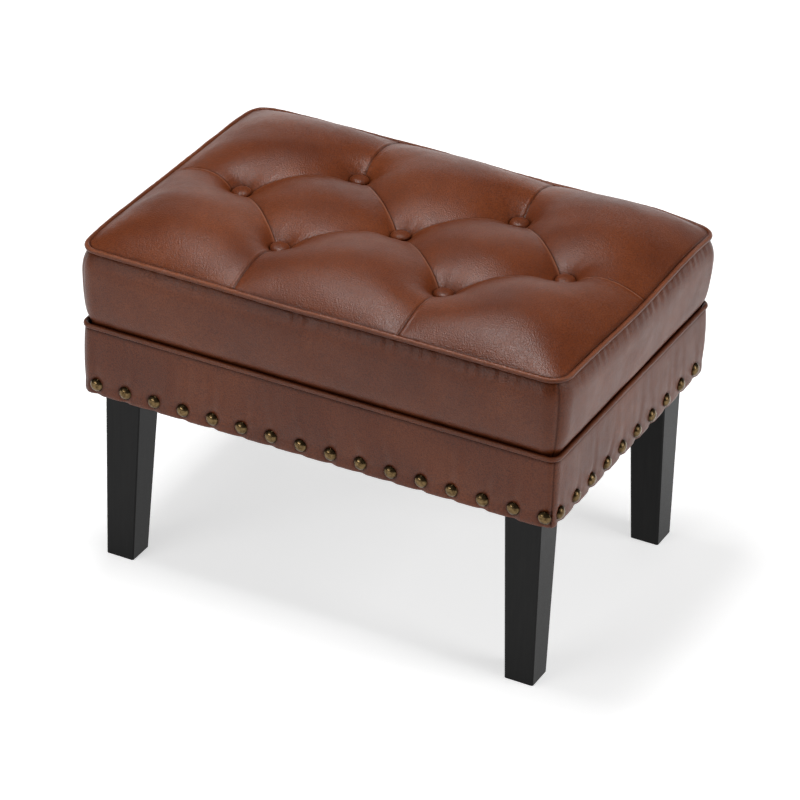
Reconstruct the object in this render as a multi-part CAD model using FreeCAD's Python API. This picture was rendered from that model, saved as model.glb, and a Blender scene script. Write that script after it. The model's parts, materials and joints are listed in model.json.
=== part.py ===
import FreeCAD, Part
import math
import os

V = FreeCAD.Vector

# Upholstered footstool: tapered legs bolted to a boarded frame, a studded border round the frame,
# and a tufted, piped cushion fixed on top. Sizes in millimetres, +Z up, X along the seat,
# origin on the floor under the middle of the seat.

# Frame and seat board
frame_length = 590.0
frame_depth = 399.0
frame_corner_radius = 14.0
rail_height = 74.0
rail_thickness = 18.0
seat_board_thickness = 12.0

# Legs
leg_height = 224.0
leg_top_width = 46.0
leg_foot_width = 36.0
leg_inset_from_ends = 15.5
leg_inset_from_faces = 11.0
leg_edge_ease = 1.5

# Small round things are made with flats
small_round_sides = 8

# Leg fixing
block_size = 50.0
block_height = 40.0
block_chamfer = 14.0
bolt_radius = 4.0
bolt_depth_in_leg = 50.0
bolt_thread_above_nut = 3.0
bolt_hole_clearance = 0.5
tee_nut_flange_radius = 10.5
tee_nut_flange_thickness = 1.5
tee_nut_barrel_radius = 5.2
tee_nut_barrel_length = 11.0

# Wood screws
screw_sides = 6
screw_radius = 2.0
screw_head_radius = 4.0
screw_head_height = 2.6
block_screw_length = 62.0
block_screw_from_rail = 33.0
block_screw_low = 13.0
block_screw_high = 28.0
board_screw_length = 35.0
board_screw_spacing = 190.0
board_screws_per_long_rail = 3

# Upholstery layers
leather_thickness = 1.3
border_padding_thickness = 4.5
border_bottom_roll = 1.8
border_roll_inset = 1.2
hem_width = 9.0
welt_radius = 3.0
welt_sides = 8
welt_flange_thickness = 1.0
welt_flange_width = 8.0
tack_strip_thickness = 1.0
tack_strip_height = 8.0
boxing_tail = 10.0

# Cushion
cushion_overhang = 8.5
boxing_height = 97.0
boxing_bulge = 3.4
boxing_drawn_in = 6.0
boxing_levels = 4

# Tufting
tuft_pitch = 208.0
tuft_row_spacing = 96.0
pillow_fullness = 0.135
pillow_edge_power = 2.5
lines_per_outer_pillow = 12
lines_per_middle_pillow = 10
seam_crown = 12.0
button_seat_drop = 2.0
valley_width = 4.0
sections_per_gap = 3
sections_past_last_button = 4

# Buttons and twines
button_radius = 11.3
button_height = 6.5
button_rim_height = 1.6
button_seat_clearance = 0.6
button_sides = 12
twine_radius = 1.2
twine_sides = 6
twine_hole_clearance = 0.8
board_hole_radius = 4.0
toggle_length = 24.0
toggle_width = 6.0
toggle_thickness = 3.0

# Nailheads
nail_head_radius = 7.8
nail_head_height = 4.2
nail_sides = 8
nail_shank_width = 2.4
nail_shank_length = 16.0
nail_row_height = 12.6
nail_spacing = 39.0
nail_inset_on_long_sides = 9.25
nail_inset_on_short_sides = 18.15
nail_row_shift = 4.0

# Dust cover
dust_cover_thickness = 0.8
dust_cover_inset = 5.0
dust_cover_leg_clearance = 1.0

# Heights that follow from the sizes above
rail_top = leg_height + rail_height
board_top = rail_top + seat_board_thickness
lower_welt_height = board_top + welt_radius - 1.0
boxing_bottom = lower_welt_height + welt_radius
boxing_top = boxing_bottom + boxing_height - welt_radius
top_welt_height = boxing_top + welt_radius
panel_edge_height = top_welt_height + leather_thickness
button_seat_height = panel_edge_height - button_seat_drop
above_everything = top_welt_height + 2.0 * boxing_height

# Offsets outward from the frame's side faces
border_outside = border_padding_thickness + leather_thickness
lower_welt_offset = border_outside - 0.8
panel_edge_offset = cushion_overhang - welt_radius
panel_half_length = 0.5 * frame_length + panel_edge_offset
panel_half_depth = 0.5 * frame_depth + panel_edge_offset

# Places of the buttons: three in the middle row and two in each outer row
middle_row = [(column * tuft_pitch, 0.0, name)
              for column, name in ((-1, "left"), (0, "centre"), (1, "right"))]
outer_rows = [(column * 0.5 * tuft_pitch, row * tuft_row_spacing, row_name + "_" + name)
              for row, row_name in ((-1, "front"), (1, "back"))
              for column, name in ((-1, "left"), (1, "right"))]
buttons = middle_row + outer_rows

os.makedirs("parts", exist_ok=True)
nodes = {}


def save(name, shape):
    """Keep a node and write it as its own STEP file."""
    nodes[name] = shape
    shape.exportStep(os.path.join("parts", name + ".step"))


def box_between(low, high):
    """A box from its lowest corner to its highest."""
    return Part.makeBox(high[0] - low[0], high[1] - low[1], high[2] - low[2], V(*low))


def rounded_outline(offset, z):
    """The frame's rounded plan, moved out by offset, as a closed wire at height z."""
    half_x = 0.5 * frame_length + offset
    half_y = 0.5 * frame_depth + offset
    radius = frame_corner_radius + offset
    edges = []
    for quarter in range(4):
        start = 90.0 * quarter
        side_x = 1 if quarter in (0, 3) else -1
        side_y = 1 if quarter in (0, 1) else -1
        centre = V(side_x * (half_x - radius), side_y * (half_y - radius), z)
        points = [centre + polar(radius, start + step) for step in (0.0, 45.0, 90.0)]
        if edges:
            edges.append(Part.makeLine(last, points[0]))
        else:
            first = points[0]
        edges.append(Part.Arc(*points).toShape())
        last = points[2]
    edges.append(Part.makeLine(last, first))
    return Part.Wire(edges)


def polar(radius, degrees):
    """A level vector of this length at this angle from +X."""
    angle = math.radians(degrees)
    return V(radius * math.cos(angle), radius * math.sin(angle), 0)


def rounded_prism(offset, low, high):
    """A prism on the frame's rounded plan, moved out by offset."""
    return Part.Face(rounded_outline(offset, low)).extrude(V(0, 0, high - low))


def polygon(centre, radius, sides, normal=V(0, 0, 1)):
    """A regular polygon as a closed wire, square to its normal."""
    turn = FreeCAD.Rotation(V(0, 0, 1), normal)
    points = [centre + turn.multVec(polar(radius, 360.0 * (k + 0.5) / sides)) for k in range(sides)]
    return Part.makePolygon(points + points[:1])


def prism_on(wire, travel):
    """The solid that a closed flat wire sweeps along a straight travel."""
    return Part.Face(wire).extrude(travel)


def rod(start, radius, travel):
    """A small round bar or hole with flats, from its start along its travel."""
    return prism_on(polygon(start, radius, small_round_sides, travel), travel)


def lofted_flat(sections):
    """A loft through closed polygons of many lines, with two flat triangles to each line."""
    faces = [Part.Face(Part.makePolygon(ring + ring[:1])) for ring in (sections[0], sections[-1])]
    for here, there in zip(sections, sections[1:]):
        for k in range(len(here)):
            for corners_round in ([here[k - 1], here[k], there[k]], [here[k - 1], there[k], there[k - 1]]):
                faces.append(Part.Face(Part.makePolygon(corners_round + corners_round[:1])))
    return Part.makeSolid(Part.makeShell(faces))


def stack(wires, tip=None):
    """A solid with flat faces through polygons whose edges are parallel, closed flat or by a tip."""
    rings = [[vertex.Point for vertex in wire.OrderedVertexes] for wire in wires]
    faces = [Part.Face(wires[0])]
    if tip is None:
        faces.append(Part.Face(wires[-1]))
    else:
        last = rings[-1]
        faces += [Part.Face(Part.makePolygon([last[k - 1], last[k], tip, last[k - 1]]))
                  for k in range(len(last))]
    for low, high in zip(rings, rings[1:]):
        for k in range(len(low)):
            corners_round = [low[k - 1], low[k], high[k], high[k - 1], low[k - 1]]
            faces.append(Part.Face(Part.makePolygon(corners_round)))
    return Part.makeSolid(Part.makeShell(faces))


def side_frame(side):
    """Half run, half reach and a function from (along, outward) to a point, for one side."""
    quarter_turns = ("front", "right", "back", "left").index(side)
    long_side = quarter_turns % 2 == 0
    half_run = 0.5 * (frame_length if long_side else frame_depth)
    half_reach = 0.5 * (frame_depth if long_side else frame_length)

    def place(along, outward, z):
        x, y = along, -outward
        for turn in range(quarter_turns):
            x, y = -y, x
        return V(x, y, z)
    return half_run, half_reach, place


def swept(side, profile, left_turn=45.0, right_turn=45.0):
    """A closed profile of (height, offset) run along one side and turned round its corners."""
    half_run, half_reach, place = side_frame(side)
    run = half_run - frame_corner_radius
    points = [place(-run, half_reach + offset, z) for z, offset in profile]
    left_face = Part.Face(Part.makePolygon(points + points[:1]))
    travel = place(run, 0, 0) - place(-run, 0, 0)
    pieces = []
    if left_turn:
        centre = place(-run, half_reach - frame_corner_radius, 0)
        pieces.append(left_face.revolve(centre, V(0, 0, 1), -left_turn))
    if right_turn:
        centre = place(run, half_reach - frame_corner_radius, 0)
        right_face = left_face.translated(travel)
        pieces.append(right_face.revolve(centre, V(0, 0, 1), right_turn))
    return left_face.extrude(travel).fuse(pieces)


def swept_ring(profile):
    """A closed profile of (height, offset) run all the way round the frame's rounded plan."""
    lengths = [swept(side, profile, 0.0, 90.0) for side in sides]
    return lengths[0].fuse(lengths[1:]).removeSplitter()


# Legs and what fixes them
def leg_corner(side_x, side_y):
    """The outer upright corner of a leg."""
    return (side_x * (0.5 * frame_length - leg_inset_from_ends),
            side_y * (0.5 * frame_depth - leg_inset_from_faces))


def leg_axis(side_x, side_y):
    """The middle of a leg's top."""
    x, y = leg_corner(side_x, side_y)
    return x - side_x * 0.5 * leg_top_width, y - side_y * 0.5 * leg_top_width


def leg_section(side_x, side_y, width, z):
    """A square with eased corners, standing against the leg's outer corner."""
    x, y = leg_corner(side_x, side_y)
    middle = V(x - side_x * 0.5 * width, y - side_y * 0.5 * width, z)
    half = 0.5 * width
    ease = leg_edge_ease
    points = []
    for quarter in range(4):
        for a, b in ((half, -half + ease), (half, half - ease)):
            for turn in range(quarter):
                a, b = -b, a
            points.append(middle + V(a, b, 0))
    return Part.makePolygon(points + points[:1])


def leg(side_x, side_y):
    foot = leg_section(side_x, side_y, leg_foot_width, 0)
    top = leg_section(side_x, side_y, leg_top_width, leg_height)
    x, y = leg_axis(side_x, side_y)
    hole = rod(V(x, y, leg_height - bolt_depth_in_leg), bolt_radius, V(0, 0, bolt_depth_in_leg))
    return stack([foot, top]).cut(hole)


def leg_bolt(side_x, side_y):
    x, y = leg_axis(side_x, side_y)
    length = bolt_depth_in_leg + block_height + tee_nut_flange_thickness + bolt_thread_above_nut
    return rod(V(x, y, leg_height - bolt_depth_in_leg), bolt_radius, V(0, 0, length))


def tee_nut(side_x, side_y):
    x, y = leg_axis(side_x, side_y)
    seat = leg_height + block_height
    low = V(x, y, seat - tee_nut_barrel_length)
    flange = rod(V(x, y, seat), tee_nut_flange_radius, V(0, 0, tee_nut_flange_thickness))
    barrel = rod(low, tee_nut_barrel_radius, V(0, 0, tee_nut_barrel_length))
    bore = rod(low, bolt_radius, V(0, 0, tee_nut_barrel_length + tee_nut_flange_thickness))
    return flange.fuse(barrel).cut(bore).removeSplitter()


def wood_screw(head, direction, length):
    """A countersunk screw with flats, its head at a point and its shank along a direction."""
    neck = head + direction * screw_head_height
    tip = head + direction * length
    return stack([polygon(head, screw_head_radius, screw_sides, direction),
                  polygon(neck, screw_radius, screw_sides, direction),
                  polygon(tip, screw_radius, screw_sides, direction)])


def block_screws_at(side_x, side_y):
    """Two screws through a block, one into each rail beside it."""
    inner_x = 0.5 * frame_length - rail_thickness
    inner_y = 0.5 * frame_depth - rail_thickness
    into_end = wood_screw(V(side_x * (inner_x - block_size), side_y * (inner_y - block_screw_from_rail),
                            leg_height + block_screw_low), V(side_x, 0, 0), block_screw_length)
    into_side = wood_screw(V(side_x * (inner_x - block_screw_from_rail), side_y * (inner_y - block_size),
                             leg_height + block_screw_high), V(0, side_y, 0), block_screw_length)
    return [into_end, into_side]


def corner_block(side_x, side_y):
    """A glue block in a corner of the frame, chamfered on its inner edge."""
    inner_x = 0.5 * frame_length - rail_thickness
    inner_y = 0.5 * frame_depth - rail_thickness
    far, near = block_size, block_size - block_chamfer
    plan = [(0, 0), (far, 0), (far, near), (near, far), (0, far)]
    points = [V(side_x * (inner_x - a), side_y * (inner_y - b), leg_height) for a, b in plan]
    blank = prism_on(Part.makePolygon(points + points[:1]), V(0, 0, block_height))
    x, y = leg_axis(side_x, side_y)
    bolt_hole = rod(V(x, y, leg_height), bolt_radius + bolt_hole_clearance, V(0, 0, block_height))
    barrel_hole = rod(V(x, y, leg_height + block_height - tee_nut_barrel_length), tee_nut_barrel_radius,
                      V(0, 0, tee_nut_barrel_length))
    return blank.cut([bolt_hole, barrel_hole] + block_screws_at(side_x, side_y))


# Screws from the seat board down into the rails
def board_screws():
    rail_middle_y = 0.5 * (frame_depth - rail_thickness)
    rail_middle_x = 0.5 * (frame_length - rail_thickness)
    first = -0.5 * (board_screws_per_long_rail - 1) * board_screw_spacing
    places = [(first + k * board_screw_spacing, side * rail_middle_y)
              for side in (-1, 1) for k in range(board_screws_per_long_rail)]
    places += [(side * rail_middle_x, 0.0) for side in (-1, 1)]
    return [wood_screw(V(x, y, board_top), V(0, 0, -1), board_screw_length) for x, y in places]


# Nails along the border's lower edge
def nail(place, outward):
    """A domed head of flats on a square spike, with its back at a place on the border."""
    back = polygon(place, nail_head_radius, nail_sides, outward)
    brow = polygon(place + outward * (0.66 * nail_head_height), 0.72 * nail_head_radius,
                   nail_sides, outward)
    crown = place + outward * nail_head_height
    root = polygon(place, 0.5 * nail_shank_width * math.sqrt(2.0), 4, outward)
    point = place - outward * nail_shank_length
    return stack([back, brow], crown).fuse(stack([root], point))


def nail_row(side):
    """Nails spaced evenly between the two end ones, as near to the wanted spacing as they come.

    The front and right rows stand a little nearer the corner between them, as the studs were set.
    """
    half_run, half_reach, place = side_frame(side)
    inset = nail_inset_on_long_sides if side in ("front", "back") else nail_inset_on_short_sides
    reach = half_run - inset
    gaps = round(2.0 * reach / nail_spacing)
    shift = {"front": nail_row_shift, "right": -nail_row_shift}.get(side, 0.0)
    places = [shift - reach + 2.0 * reach * k / gaps for k in range(gaps + 1)]
    outward = place(0, 1, 0) - place(0, 0, 0)
    z = leg_height + nail_row_height
    return [nail(place(along, half_reach + border_outside, z), outward) for along in places]


# The cushion's side profile and its pillowed top
def boxing_outline():
    """The boxing and its wadding as a closed profile, from the stapled tail up to the welt."""
    tail = boxing_bottom - welt_radius
    outside = [(tail - boxing_tail, leather_thickness), (tail, leather_thickness)]
    for level in range(boxing_levels + 1):
        t = (level / boxing_levels) ** 1.4
        drawn_in = boxing_drawn_in * (1.0 - t) ** 5
        bulge = boxing_bulge * math.sin(math.pi * t ** 0.8)
        outside.append((boxing_bottom + t * (boxing_top - boxing_bottom),
                        cushion_overhang + bulge - drawn_in))
    return [(tail - boxing_tail, 0.0)] + outside + [(boxing_top, 0.0)]


def swell(share):
    """A quarter round from 0 at a crease to 1 at the middle of a pillow."""
    share = min(max(share, 0.0), 1.0)
    return math.sqrt(1.0 - (1.0 - share) ** 2)


def tuft_section_places():
    """Places along X that the pillows are lofted through, from the middle to the right end."""
    column_gap = 0.5 * tuft_pitch
    steps = sections_per_gap + 1
    places = [column_gap * k / steps for k in range(2 * steps + 1)]
    end_gap = panel_half_length - tuft_pitch
    count = sections_past_last_button
    places += [tuft_pitch + end_gap * (1.0 - (1.0 - k / count) ** 2) for k in range(1, count + 1)]
    return places + [panel_half_length + 2.0 * welt_radius]


def tuft_shape(x):
    """Place and height of the seam at x, and the bow of the pillows as a share of their width."""
    x = abs(x)
    column_gap = 0.5 * tuft_pitch
    if x <= tuft_pitch:
        # The seams run in a zigzag from button to button.
        share = min(x / column_gap, 2.0 - x / column_gap)
        place = tuft_row_spacing * share
        fullness = pillow_fullness
    else:
        # One seam runs from the last button out to the welt.
        share = min((x - tuft_pitch) / (panel_half_length - tuft_pitch), 1.0)
        place = 0.0
        fullness = pillow_fullness * swell(1.0 - share)
    seam = seam_crown * 4.0 * share * (1.0 - share)
    if x <= tuft_pitch:
        seam -= button_seat_drop * abs(1.0 - 2.0 * share)
    else:
        seam -= button_seat_drop * (1.0 - share)
    return max(place, valley_width), seam, fullness


def pillow(start, finish, bow, lines):
    """Points of a pillow's crown from seam to seam, each as (place, height), without the last."""
    shares = [0.5 - 0.5 * math.cos(math.pi * k / lines) for k in range(lines)]
    return [(start[0] + t * (finish[0] - start[0]),
             start[1] + t * (finish[1] - start[1]) + bow * (1.0 - abs(2.0 * t - 1.0) ** pillow_edge_power))
            for t in shares]


def tuft_section(x):
    """A section of the tufted panel and its wadding across the seat at x, as points."""
    place, seam, fullness = tuft_shape(x)
    end = panel_half_depth + 2.0 * welt_radius
    rim = (-panel_half_depth, 0.0)
    outer_seam = (-place - 0.5 * valley_width, seam)
    inner_seam = (-place + 0.5 * valley_width, seam)
    far_seam = (-inner_seam[0], seam)
    half = [(-end, 0.0)]
    half += pillow(rim, outer_seam, fullness * (outer_seam[0] - rim[0]), lines_per_outer_pillow)
    half += [outer_seam]
    middle = pillow(inner_seam, far_seam, fullness * (far_seam[0] - inner_seam[0]), lines_per_middle_pillow)
    low = boxing_top - panel_edge_height
    outline = half + middle + [far_seam] + [(-y, z) for y, z in reversed(half)] + [(end, low), (-end, low)]
    return [V(x, y, panel_edge_height + z) for y, z in outline]


def tufted_panel():
    """The leather and wadding of the top, pillowed between the seams and the buttons."""
    places = tuft_section_places()
    places = [-x for x in reversed(places[1:])] + places
    blank = lofted_flat([tuft_section(x) for x in places])
    pockets = at_buttons(lambda x, y: prism_on(
        polygon(V(x, y, button_seat_height), button_radius + button_seat_clearance, button_sides),
        V(0, 0, above_everything - button_seat_height)))
    outline = rounded_prism(panel_edge_offset, boxing_top, above_everything)
    return blank.common(outline).cut(pockets + at_buttons(twine_passage))


def at_buttons(make):
    return [make(x, y) for x, y, name in buttons]


def twine_passage(x, y):
    """The way that a twine takes down through the cover and the filling."""
    radius = twine_radius + twine_hole_clearance
    return prism_on(polygon(V(x, y, board_top), radius, twine_sides),
                    V(0, 0, button_seat_height - board_top + 1.0))


def button(x, y):
    """A covered button of flats: a rim, a brow and a small flat crown."""
    rings = [(0.0, 0.93), (button_rim_height, 1.0), (0.72 * button_height, 0.74), (button_height, 0.3)]
    wires = [polygon(V(x, y, button_seat_height + rise), share * button_radius, button_sides)
             for rise, share in rings]
    return stack(wires)


def twine(x, y):
    """A tufting twine from the button's back down to the toggle under the board."""
    low = rail_top - toggle_thickness
    return prism_on(polygon(V(x, y, low), twine_radius, twine_sides), V(0, 0, button_seat_height - low))


def toggle(x, y):
    low = V(x - 0.5 * toggle_length, y - 0.5 * toggle_width, rail_top - toggle_thickness)
    bar = Part.makeBox(toggle_length, toggle_width, toggle_thickness, low)
    return bar.cut(twine(x, y))


# Build and write every node
corners = {"front_left": (-1, -1), "front_right": (1, -1), "back_left": (-1, 1), "back_right": (1, 1)}
sides = ("front", "back", "left", "right")

nail_rows = {side: nail_row(side) for side in sides}
all_nails = [one for side in sides for one in nail_rows[side]]
all_block_screws = [screw for at in corners.values() for screw in block_screws_at(*at)]
all_board_screws = board_screws()

for name, at in corners.items():
    save(name + "_leg", leg(*at))
    save(name + "_block", corner_block(*at))
save("leg_bolts", Part.makeCompound([leg_bolt(*at) for at in corners.values()]))
save("tee_nuts", Part.makeCompound([tee_nut(*at) for at in corners.values()]))
save("block_screws", Part.makeCompound(all_block_screws))
save("board_screws", Part.makeCompound(all_board_screws))

# Long rails run the full length; short rails stand between them.
frame_blank = rounded_prism(0.0, leg_height, rail_top)
inner_y = 0.5 * frame_depth - rail_thickness
inner_x = 0.5 * frame_length - rail_thickness
outside = 0.5 * frame_length + 1.0
rail_boxes = {
    "front": ((-outside, -outside, 0), (outside, -inner_y, board_top)),
    "back": ((-outside, inner_y, 0), (outside, outside, board_top)),
    "left": ((-outside, -inner_y, 0), (-inner_x, inner_y, board_top)),
    "right": ((inner_x, -inner_y, 0), (outside, inner_y, board_top)),
}
for side in sides:
    rail = frame_blank.common(box_between(*rail_boxes[side]))
    save(side + "_rail", rail.cut(all_block_screws + all_board_screws + all_nails))

board_holes = at_buttons(lambda x, y: rod(V(x, y, rail_top), board_hole_radius,
                                          V(0, 0, seat_board_thickness)))
save("seat_board", rounded_prism(0.0, rail_top, board_top).cut(board_holes + all_board_screws))

# Cushion
save("seat_foam", rounded_prism(0.0, board_top, boxing_top).cut(at_buttons(twine_passage)))
save("top_panel", tufted_panel())
for side in sides:
    save(side + "_boxing", swept(side, boxing_outline()))


# Welts: leather folded round a cord, the lower one with its stapled flange
def welt(height, offset):
    corner_radius = welt_radius / math.cos(math.pi / welt_sides)
    section = [polar(corner_radius, 360.0 * (k + 0.5) / welt_sides) for k in range(welt_sides)]
    return swept_ring([(height + corner.y, offset + corner.x) for corner in section])


def upright(low, high, inner, outer):
    """The profile of an upright strip."""
    return [(low, inner), (low, outer), (high, outer), (high, inner)]


flange_inside = leather_thickness
flange_outside = flange_inside + welt_flange_thickness
flange = upright(lower_welt_height - welt_flange_width, lower_welt_height, flange_inside, flange_outside)
flanges = [swept(side, flange, 0.0, 0.0) for side in sides]
save("top_welt", welt(top_welt_height, cushion_overhang))
save("lower_welt", welt(lower_welt_height, lower_welt_offset).fuse(flanges))

# Buttons
for x, y, name in buttons:
    save("button_" + name, button(x, y))
save("tuft_twines", Part.makeCompound(at_buttons(twine)))
save("twine_toggles", Part.makeCompound(at_buttons(toggle)))

# Border
border_top = lower_welt_height - welt_radius
hem_low = leg_height - leather_thickness
border_outline = [(border_top, border_outside), (hem_low + border_bottom_roll, border_outside),
                  (hem_low, border_outside - border_roll_inset), (hem_low, -hem_width),
                  (leg_height, -hem_width), (leg_height, border_padding_thickness),
                  (border_top, border_padding_thickness)]
for side in sides:
    save(side + "_border", swept(side, border_outline).cut(nail_rows[side]))
strip_low = border_top - tack_strip_height
strips = [swept(side, upright(strip_low, border_top, flange_outside,
                              flange_outside + tack_strip_thickness), 0.0, 0.0) for side in sides]
save("tack_strips", Part.makeCompound(strips))
padding_outline = upright(leg_height, strip_low - 2.0, 0.0, border_padding_thickness)
save("border_padding", swept_ring(padding_outline).cut(all_nails))
for side in sides:
    save("nailheads_" + side, Part.makeCompound(nail_rows[side]))

# Dust cover, cut away round each leg
cover_low = hem_low - dust_cover_thickness
cover = rounded_prism(-dust_cover_inset, cover_low, hem_low)
room = 0.5 * leg_top_width + dust_cover_leg_clearance
for at in corners.values():
    x, y = leg_axis(*at)
    cover = cover.cut(box_between((x - room, y - room, cover_low - 1), (x + room, y + room, hem_low + 1)))
save("dust_cover", cover)
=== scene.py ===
import json
import math
import bpy
import numpy as np
from mathutils import Matrix, Vector


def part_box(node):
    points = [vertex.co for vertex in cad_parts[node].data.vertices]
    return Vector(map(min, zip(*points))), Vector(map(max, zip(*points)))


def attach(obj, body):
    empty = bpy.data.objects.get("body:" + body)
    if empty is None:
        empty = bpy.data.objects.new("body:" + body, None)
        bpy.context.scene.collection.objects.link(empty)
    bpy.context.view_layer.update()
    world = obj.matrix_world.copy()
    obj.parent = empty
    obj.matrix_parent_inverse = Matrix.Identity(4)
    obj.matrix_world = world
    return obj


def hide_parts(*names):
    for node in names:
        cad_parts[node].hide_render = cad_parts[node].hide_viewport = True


# Looks of the upholstered footstool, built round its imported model. Sizes are in millimetres
# and are turned into metres when a mesh is made. +Z is up and the front faces -Y.
# The legs and all that is hidden keep their CAD solids. The leather, its welts, buttons and
# nails and the cloth underneath are made here.

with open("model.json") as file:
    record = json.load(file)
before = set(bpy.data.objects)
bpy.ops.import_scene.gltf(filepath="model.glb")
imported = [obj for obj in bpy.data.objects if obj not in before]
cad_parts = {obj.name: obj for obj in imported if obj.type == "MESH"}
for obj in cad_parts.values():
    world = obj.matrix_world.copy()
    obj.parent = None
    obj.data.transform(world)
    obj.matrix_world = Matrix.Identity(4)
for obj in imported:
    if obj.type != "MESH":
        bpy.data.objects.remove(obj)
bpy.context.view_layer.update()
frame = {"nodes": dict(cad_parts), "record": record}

MM = 0.001
quarter_turn = 0.5 * math.pi
square = [(-1, -1), (1, -1), (1, 1), (-1, 1)]
random = np.random.default_rng(7)


def box_mm(node):
    """Lowest and highest corner of a CAD node in millimetres."""
    low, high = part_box(node)
    return np.array(low) / MM, np.array(high) / MM


# Sizes read from the frame
half_length, half_depth = box_mm("seat_board")[1][:2]
frame_bottom = box_mm("front_rail")[0][2]
top_welt_low, top_welt_high = box_mm("top_welt")
lower_welt_top = box_mm("lower_welt")[1]
cover_low, cover_high = box_mm("dust_cover")
button_back = box_mm("button_centre")[0][2]

# Sizes shared with the part's source
frame_corner_radius = 14.0
welt_radius = 3.0
leather_thickness = 1.3
border_outside = 5.8
leg_top_width = 46.0
leg_insets = (15.5, 11.0)
leg_edge_radius = 0.9
tuft_pitch = 208.0
tuft_row_spacing = 96.0
button_radius = 11.3
nail_head_radius = 7.8
nail_row_height = 12.6
nail_spacing = 39.0
nail_insets = {"front": 9.25, "right": 18.15, "back": 9.25, "left": 18.15}
nail_row_shifts = {"front": 4.0, "right": -4.0, "back": 0.0, "left": 0.0}

# Where the welts and the top panel's rim run: height, and offset out from the frame's face
rim_tuck = 1.0
top_welt_height = 0.5 * (top_welt_low[2] + top_welt_high[2])
top_welt_offset = top_welt_high[0] - welt_radius - half_length
lower_welt_height = lower_welt_top[2] - welt_radius
lower_welt_offset = lower_welt_top[0] - welt_radius - half_length
rim_offset = top_welt_offset - welt_radius + rim_tuck
rim_height = top_welt_height + leather_thickness
rim_radius = frame_corner_radius + rim_offset
straight_x, straight_y = half_length - frame_corner_radius, half_depth - frame_corner_radius

# Cushion: its pillows as a skin that foam pushes up and that seams and buttons hold down
top_cell = 1.4
solver_cell = 2.5
solver_sweeps = 420
over_relaxation = 1.93
foam_spread = 60.0
pillow_push = 17.3e-3
row_seam_pull = 0.83
end_seam_pull = 0.16
edge_seam_pull = 0.5
seam_half_width = 3.0
button_hollow = 11.5
button_sink = -3.0

# Cushion: what is sewn and folded into the skin
seam_groove_depth = 0.9
seam_groove_width = 0.95
seam_opens_from_button = 12.0
seam_lip_height = 0.8
seam_lip_place = 2.2
seam_lip_width = 1.4
button_lift = 1.4
button_fold_height = 0.22
button_fold_place = 15.0
button_fold_reach = 15.0
unevenness_height = 0.6
unevenness_fade = 25.0

# How strong the painted highlight beside the leather's seams and along its welts is, and how dark
# the painted shade in its creases is, from 0 to 1
seam_highlight = 0.55
seam_highlight_place = 1.9
seam_highlight_width = 0.9
welt_highlight = 0.3
seam_shade = 0.75
button_ring_shade = 0.8
welt_gap_shade = 0.75
gap_width = 2.2

# Boxing: its waves are shortest and longest length and seed, and its curve is height and
# offset out from the frame's face, from the top welt down
boxing_rows = 64
boxing_waves = [(70.0, 260.0, 3), (90.0, 300.0, 4), (11.0, 26.0, 5)]
# Painted shade on the boxing: near its foot above the lower welt, just under the top welt, and
# along its corner seams
boxing_foot = 315.0
boxing_foot_shade = 0.75
boxing_foot_reach = 4.0
boxing_head = 408.6
boxing_head_shade = 0.85
boxing_head_reach = 1.8
corner_seam_width = 0.11
corner_seam_depth = 1.2
corner_seam_shade = 1.4
corner_shade_from = 0.6
belly_wave = 0.55
belly_wave_turn = 3.0
wrinkle_height = 0.34
wrinkles_below_welt = 8.0
wrinkle_reach = 9.0
wrinkle_gap = 4.0
lower_wrinkle_share = 0.35
lower_wrinkle_height = 322.0
lower_wrinkle_reach = 8.0
boxing_curve = [(413.3, 5.5), (411.2, 5.0), (409.2, 5.2), (407.6, 6.3), (404.8, 8.4),
                (400.0, 10.6), (393.0, 12.9), (384.0, 14.0), (373.0, 13.7), (360.0, 12.8),
                (347.0, 11.4), (335.0, 9.6), (326.0, 7.4), (319.5, 4.6), (315.0, 2.4),
                (310.2, 1.3)]

# Places where the cushion's edge has settled: x, y, reach, drop and push outward
settled_places = [(300.0, 205.0, 48.0, 6.5, -2.0), (-300.0, -205.0, 30.0, 1.5, -3.5),
                  (-300.0, 205.0, 30.0, 2.0, -1.0), (300.0, -20.0, 95.0, 2.0, 2.2),
                  (90.0, 205.0, 80.0, 3.0, 0.0), (-40.0, -205.0, 60.0, 0.8, 1.0)]
settled_reach = 60.0
rim_band = 12.0

# Border: its curve is height and offset out from the frame's face, from the lower welt down
# and under. Its waves and its corner seams stop where the curve is nearer than an offset.
border_cell = 2.5
border_rows = 46
border_corner_radius = 6.0
border_curve = [(310.5, 2.0), (309.3, 4.2), (306.5, 5.7), (300.0, 6.4), (285.0, 7.0),
                (265.0, 7.1), (248.0, 6.5), (236.6, 5.9), (228.0, 5.9), (224.6, 5.3),
                (223.1, 4.2), (222.7, 2.4), (222.7, -10.6)]
border_seam_width = 0.1
border_seam_depth = 0.9
border_seam_shade = 1.2
border_shade_from = 0.55
border_seam_offset = 3.0
border_wave_heights = (0.45, 0.12)
border_waves = [(60.0, 240.0, 11), (14.0, 34.0, 12)]
border_wave_offset = 1.9
nail_dimple_depth = 1.9
nail_dimple_width = 11.0
nail_pucker_height = 1.4
nail_pucker_strengths = (0.5, 1.3)
nail_pucker_width = 4.5
nail_pucker_slant = 0.35
nail_pucker_reach = 24.0
fold_beside_pucker = 8.0
fold_share = 0.45
fold_width = 4.0
hem_bulge = 0.3
hem_bulge_reach = 9.0
hem_scallop = 0.15
hem_scallop_reach = 10.0
hem_scallop_below_nails = 8.0
hem_scallop_limit = -5.0
hem_limit_in_corners = 0.5 - border_corner_radius
# Painted shade on the border: just under the lower welt, round each nail head, and along its corner
# seams
border_head = 309.5
border_head_shade = 0.8
border_head_reach = 2.5
nail_shadow_dark = 0.5
nail_shadow_width = 2.0
tuck_on_short_sides = 1.4

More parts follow.
